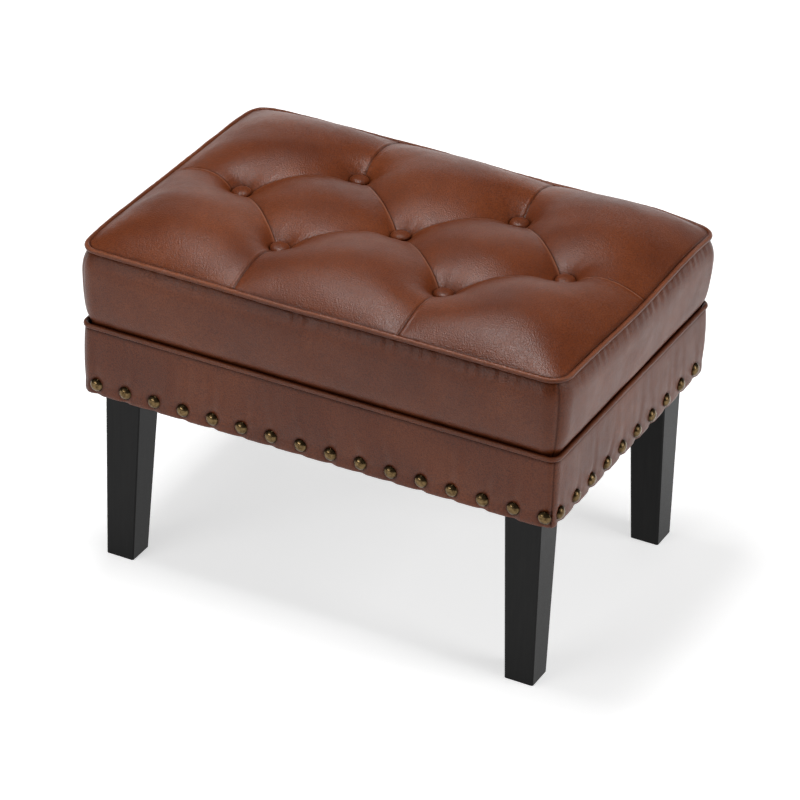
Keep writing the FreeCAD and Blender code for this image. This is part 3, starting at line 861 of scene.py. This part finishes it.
def border_rings(anchors, normals, walked, sides):
    """Rings of points down the border and under the frame, and how dark the painted shade on each
    one is.
    """
    nail_height = frame_bottom + nail_row_height
    slow, quick = (height * ripples(walked[:-1], walked[-1], *wave)
                   for height, wave in zip(border_wave_heights, border_waves))
    seam = on_diagonal(normals, border_seam_width)
    turned = np.abs(normals).min(axis=1) > 1e-6
    along, lean, strength = nail_folds(anchors + normals * frame_corner_radius, sides)
    rings, crease_shades = [], []
    for height, offset in smooth_curve(border_curve, border_rows):
        up = min(max((height - nail_height) / (lower_welt_height - nail_height), 0.0), 1.0)
        above = max(height - nail_height, 0.0)
        to_nail = np.hypot(along, height - nail_height)
        from_fold = along - nail_pucker_slant * above * lean
        pucker = strength * bell(from_fold, nail_pucker_width)
        pucker -= fold_share * bell(from_fold - fold_beside_pucker, fold_width)
        pucker *= nail_pucker_height * math.exp(-above / nail_pucker_reach)
        wave = math.sin(math.pi * up) * (slow + quick) - pucker
        wave -= nail_dimple_depth * bell(to_nail, nail_dimple_width)
        if height < nail_height:
            wave += hem_bulge * (1.0 - bell(along, hem_bulge_reach))
        in_corner = max(offset, hem_limit_in_corners) if offset < 0 else offset
        on_short = offset * tuck_on_short_sides if offset < 0 else offset
        out = np.where(turned, in_corner, np.where(sides % 2 == 1, on_short, offset))
        wave = wave * (out > border_wave_offset)
        wave = wave - border_seam_depth * seam * (out > border_seam_offset)
        ring = around(anchors, normals, out + wave, height)
        if height < nail_height - hem_scallop_below_nails and in_corner > hem_scallop_limit:
            ring[:, 2] -= hem_scallop * (1.0 - bell(along, hem_scallop_reach))
        rings.append(ring)
        # Painted shade just under the lower welt, round each nail head and along the corner seams
        dark = border_head_shade * bell(height - border_head, border_head_reach)
        dark = dark + nail_shadow_dark * bell(to_nail - nail_head_radius, nail_shadow_width)
        dark = dark + border_seam_shade * np.maximum(seam - border_shade_from, 0.0)
        crease_shades.append(np.clip(dark, 0.0, 1.0))
    return np.array(rings), np.array(crease_shades)


def make_borders():
    """The border leather, one panel to a side, drawn in at its nails and turned under the frame."""
    anchors, normals, walked = rounded_plan(border_cell, border_corner_radius)
    turns = (np.arctan2(normals[:, 1], normals[:, 0]) + quarter_turn) / quarter_turn
    sides = (np.round(turns - 1e-6) % 4).astype(int)
    rings, crease_shades = border_rings(anchors, normals, walked, sides)
    count = len(anchors)
    for side, turn in side_turns.items():
        start = next(k for k in range(count) if sides[k] == turn and sides[k - 1] != turn)
        columns = [(start + k) % count for k in range(np.count_nonzero(sides == turn) + 1)]
        faces = [face[::-1] for face in grid_faces(border_rows, len(columns))]
        border = make_object(side + "_border_leather", rings[:, columns].reshape(-1, 3), faces,
                             materials["brown_leather"])
        # The border carries its painted shade for the leather to darken
        add_attribute(border, "crease_shade", crease_shades[:, columns].ravel())
        hidden = ("border_padding",) if side == "front" else ()
        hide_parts(side + "_border", *hidden)


# Nails
def make_nails():
    """Domed nail heads with a fine rim, one mesh to a side."""
    nail_height = frame_bottom + nail_row_height
    for side, turn in side_turns.items():
        reach = half_depth if side in ("front", "back") else half_length
        face_out = reach + border_outside - nail_pressed_in
        rotation = Matrix.Rotation(quarter_turn * turn, 3, "Z")
        outward, tangent = rotation @ Vector((0, -1, 0)), rotation @ Vector((1, 0, 0))
        verts, faces, crease_shades = [], [], []
        for place in nail_places(side):
            lean_x, lean_z = random.uniform(-nail_lean, nail_lean, 2)
            lift = random.uniform(-nail_lift, nail_lift)
            base = len(verts)
            for radius, height in nail_profile:
                for step in range(nail_sides):
                    angle = 2.0 * math.pi * step / nail_sides
                    a, b = radius * math.cos(angle), radius * math.sin(angle)
                    out = face_out + height + a * lean_x + b * lean_z
                    spot = tangent * (place + a) + outward * out
                    verts.append((spot.x, spot.y, nail_height + lift + b))
                    # Painted shade along the rim of each head
                    crease_shades.append(nail_rim_shade * bell(radius - nail_rim_radius, nail_rim_width))
            faces += [tuple(base + vertex for vertex in reversed(face))
                      for face in grid_faces(len(nail_profile), nail_sides, closed=True)]
        nails = make_object("nails_" + side, verts, faces, materials["antique_brass"])
        add_attribute(nails, "crease_shade", crease_shades)
        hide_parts("nailheads_" + side)


# Underside
def make_dust_cover():
    """A cloth stapled under the frame, sagging a little, cut away round the legs."""
    half_x, half_y = cover_high[:2]
    leg_room_x = half_length - leg_insets[0] - leg_top_width - cloth_gap_at_legs
    leg_room_y = half_depth - leg_insets[1] - leg_top_width - cloth_gap_at_legs
    xs = np.concatenate([[-half_x], np.linspace(-leg_room_x, leg_room_x, 79), [half_x]])
    ys = np.concatenate([[-half_y], np.linspace(-leg_room_y, leg_room_y, 51), [half_y]])
    x, y = np.meshgrid(xs, ys, indexing="ij")
    share = np.clip(1.0 - (x / half_x) ** 2, 0, 1) * np.clip(1.0 - (y / half_y) ** 2, 0, 1)
    puckers = cloth_pucker * np.sin(x / 17.0) * np.sin(y / 23.0)
    z = cover_low[2] + cloth_lift - share * (cloth_sag - puckers)
    verts = np.column_stack([x.ravel(), y.ravel(), z.ravel()])
    faces = []
    for face in grid_faces(*x.shape):
        middle = verts[list(face)].mean(axis=0)
        if abs(middle[0]) < leg_room_x or abs(middle[1]) < leg_room_y:
            faces.append(face)
    cloth = make_object("under_cloth", verts, faces, materials["black_cloth"])
    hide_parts("dust_cover")


def make_staples():
    """Wire staples that hold the cloth and the hem under the rails."""
    long_row, short_row = (np.arange(-reach, reach + 1.0, pitch)
                           for reach, pitch in (long_staple_row, short_staple_row))
    places = [(x, side * (half_depth - staple_inset), 0) for side in (-1, 1) for x in long_row]
    places += [(side * (half_length - staple_inset), y, 1) for side in (-1, 1) for y in short_row]
    verts, faces = [], []
    for x, y, turned in places:
        lean = random.uniform(-staple_lean, staple_lean) + quarter_turn * turned
        along = np.array([math.cos(lean), math.sin(lean)])
        across = np.array([-along[1], along[0]])
        base = len(verts)
        for reach, rise in staple_profile:
            for a, b in square:
                spot = np.array([x, y]) + along * reach * staple_crown
                spot = spot + across * a * staple_half_width
                level = cover_low[2] - staple_stands_off + rise + b * staple_half_thickness
                verts.append((*spot, level))
        faces += [tuple(base + vertex for vertex in face) for face in grid_faces(4, 4, closed=True)]
        faces += [(base + 3, base + 2, base + 1, base),
                  (base + 12, base + 13, base + 14, base + 15)]
    staples = make_object("cover_staples", verts, faces, materials["zinc_steel"], smooth=False)


# Legs
def ease_legs():
    """Rounded edges on the legs, which keep their CAD solids."""
    for name in ("front_left_leg", "front_right_leg", "back_left_leg", "back_right_leg"):
        leg = frame["nodes"][name]
        bevel = leg.modifiers.new("eased_edges", "BEVEL")
        bevel.width = leg_edge_radius * MM
        bevel.segments = 3
        bevel.limit_method = "ANGLE"
        bevel.angle_limit = math.radians(25)
        bevel.harden_normals = True


make_cushion()
make_welt("top_welt_leather", "top_welt", top_welt_height, top_welt_offset,
          frame_corner_radius, 21)
make_welt("lower_welt_leather", "lower_welt", lower_welt_height, lower_welt_offset,
          border_corner_radius, 31)
make_buttons()
make_borders()
make_nails()
make_dust_cover()
make_staples()
ease_legs()


# Stage, in metres
floor_reach = 9.0
floor_colour = 0.8
floor_lift = 0.6
lift_grows_from = 0.7
lift_is_white_at = 3.0
world_strength = 0.12


def make_floor():
    """A pale floor that the camera and reflections see as white paper with shadows."""
    mesh = bpy.data.meshes.new("floor")
    mesh.from_pydata([(floor_reach * x, floor_reach * y, 0.0) for x, y in square], [],
                     [(0, 1, 2, 3)])
    floor = bpy.data.objects.new("floor", mesh)
    bpy.context.scene.collection.objects.link(floor)
    material, nodes, links, shader = node_tree("floor_paper")
    nodes.remove(shader)
    paper = nodes.new("ShaderNodeBsdfDiffuse")
    paper.inputs["Color"].default_value = (floor_colour, floor_colour, floor_colour, 1.0)
    lift = nodes.new("ShaderNodeEmission")
    place = nodes.new("ShaderNodeTexCoord")
    away = nodes.new("ShaderNodeVectorMath")
    away.operation = "LENGTH"
    rise = nodes.new("ShaderNodeMapRange")
    rise.inputs["From Min"].default_value = lift_grows_from
    rise.inputs["From Max"].default_value = lift_is_white_at
    rise.inputs["To Min"].default_value = floor_lift
    rise.inputs["To Max"].default_value = 1.0
    links.new(place.outputs["Object"], away.inputs[0])
    links.new(away.outputs["Value"], rise.inputs["Value"])
    links.new(rise.outputs["Result"], lift.inputs["Strength"])
    both = nodes.new("ShaderNodeAddShader")
    choose = nodes.new("ShaderNodeMixShader")
    rays = nodes.new("ShaderNodeLightPath")
    links.new(paper.outputs[0], both.inputs[0])
    links.new(lift.outputs[0], both.inputs[1])
    seen = nodes.new("ShaderNodeMath")
    seen.operation = "MAXIMUM"
    links.new(rays.outputs["Is Camera Ray"], seen.inputs[0])
    links.new(rays.outputs["Is Glossy Ray"], seen.inputs[1])
    links.new(seen.outputs[0], choose.inputs["Fac"])
    links.new(paper.outputs[0], choose.inputs[1])
    links.new(both.outputs[0], choose.inputs[2])
    links.new(choose.outputs[0], nodes["Material Output"].inputs["Surface"])
    floor.data.materials.append(material)


def make_light(name, place, aim, size, power):
    """A soft white rectangular lamp aimed at a point, in metres and watts."""
    lamp = bpy.data.lights.new(name, "AREA")
    lamp.shape = "RECTANGLE"
    lamp.size, lamp.size_y = size
    lamp.energy = power
    obj = bpy.data.objects.new(name, lamp)
    obj.location = place
    obj.rotation_euler = (Vector(aim) - Vector(place)).to_track_quat("-Z", "Y").to_euler()
    bpy.context.scene.collection.objects.link(obj)


def make_world():
    """Weak even light, seen by the camera as white past the floor's edge."""
    world = bpy.data.worlds.new("studio")
    bpy.context.scene.world = world
    world.use_nodes = True
    nodes, links = world.node_tree.nodes, world.node_tree.links
    light = nodes["Background"]
    light.inputs["Strength"].default_value = world_strength
    paper = nodes.new("ShaderNodeBackground")
    for background in (light, paper):
        background.inputs["Color"].default_value = (1.0, 1.0, 1.0, 1.0)
    rays = nodes.new("ShaderNodeLightPath")
    choose = nodes.new("ShaderNodeMixShader")
    links.new(rays.outputs["Is Camera Ray"], choose.inputs["Fac"])
    links.new(light.outputs[0], choose.inputs[1])
    links.new(paper.outputs[0], choose.inputs[2])
    links.new(choose.outputs[0], nodes["World Output"].inputs["Surface"])


make_floor()
make_world()
make_light("overhead", (-0.25, -0.05, 2.2), (0.0, 0.0, 0.3), (0.9, 0.6), 29.0)
make_light("right_side", (2.4, 0.2, 1.2), (0.0, 0.0, 0.3), (1.2, 1.4), 19.0)
make_light("front_left", (-1.5, -2.4, 1.8), (0.0, 0.0, 0.3), (2.0, 1.6), 5.0)
make_light("behind", (-0.9, 3.2, 0.9), (0.0, 0.0, 0.4), (3.0, 0.9), 10.0)
make_light("front_strip", (-1.1, -2.4, 1.0), (0.0, 0.0, 0.38), (1.5, 0.35), 14.0)


# Camera at the photograph's place
camera_azimuth = math.radians(26.52)
camera_elevation = math.radians(30.57)
camera_roll = math.radians(1.93)
camera_distance = 4.8678
camera_target = Vector((8.42, -4.47, 200.71)) * MM
focal_length_in_pixels = 4184.67
image_width_in_pixels = 800.0
sensor_width = 36.0


def make_camera():
    """The camera that sees the stool as the photograph shows it."""
    level_reach = math.cos(camera_elevation)
    back = Vector((math.sin(camera_azimuth) * level_reach, -math.cos(camera_azimuth) * level_reach,
                   math.sin(camera_elevation)))
    level = Vector((math.cos(camera_azimuth), math.sin(camera_azimuth), 0.0))
    upright = back.cross(level)
    right_hand = level * math.cos(camera_roll) + upright * math.sin(camera_roll)
    upward = upright * math.cos(camera_roll) - level * math.sin(camera_roll)
    data = bpy.data.cameras.new("photo_camera")
    data.sensor_width = sensor_width
    data.lens = focal_length_in_pixels * sensor_width / image_width_in_pixels
    camera = bpy.data.objects.new("photo_camera", data)
    turn = Matrix((right_hand, upward, back)).transposed()
    camera.matrix_world = Matrix.Translation(camera_target + back * camera_distance) @ turn.to_4x4()
    bpy.context.scene.collection.objects.link(camera)
    bpy.context.scene.camera = camera


make_camera()
bpy.context.scene.view_settings.view_transform = "Standard"
